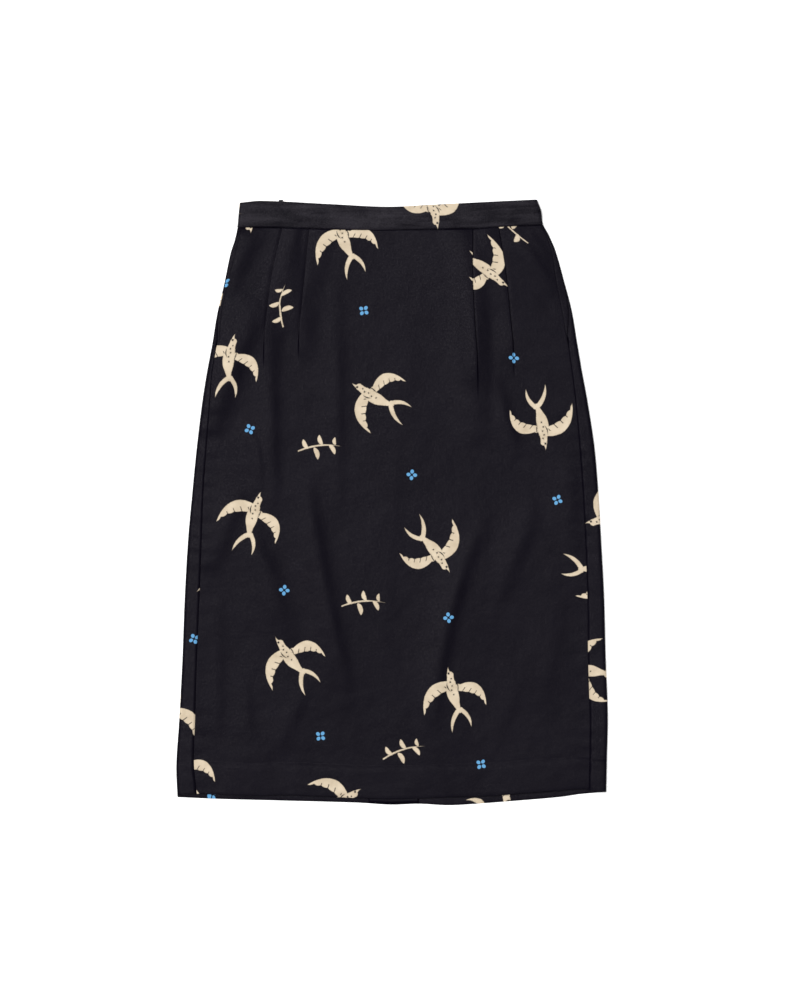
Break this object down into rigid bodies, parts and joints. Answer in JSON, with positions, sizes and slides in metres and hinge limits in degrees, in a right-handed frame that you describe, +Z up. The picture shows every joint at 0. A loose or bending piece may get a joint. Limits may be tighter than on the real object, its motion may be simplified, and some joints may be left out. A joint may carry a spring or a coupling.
{
  "type": "skirt",
  "caption": "Pleated printed skirt laid out flat with its front up: straight waistband, knife pleats, in-seam pockets, turned-up hem, centre-back vent and concealed zip.",
  "frame": {"origin": "centre of the skirt's outline, at the level of the surface that it lies on", "axes": "+Y up the skirt to the waist, +X to the right as seen from above, +Z up from the surface towards the viewer"},
  "size_m": [0.5074, 0.7106, 0.0113],
  "materials": {
    "printed_sateen": "cotton sateen, near-black ground with a printed motif in cream and blue, soft low sheen",
    "pocketing": "plain black cotton pocketing, matt",
    "loop_tape": "narrow black satin tape",
    "zip_tape": "black woven zip tape with a moulded coil",
    "zip_metal": "black enamelled slider"
  },
  "bodies": {
    "root": {"front_panel": "printed_sateen", "back_panel_left": "printed_sateen", "back_panel_right": "printed_sateen", "vent_underlap": "printed_sateen", "waistband_front": "printed_sateen", "waistband_back_left": "printed_sateen", "waistband_back_right": "printed_sateen", "pocket_bag_left": "pocketing", "pocket_bag_right": "pocketing", "hanger_loop": "loop_tape", "zip_tape": "zip_tape", "zip_slider": "zip_metal"}
  },
  "joints": []
}
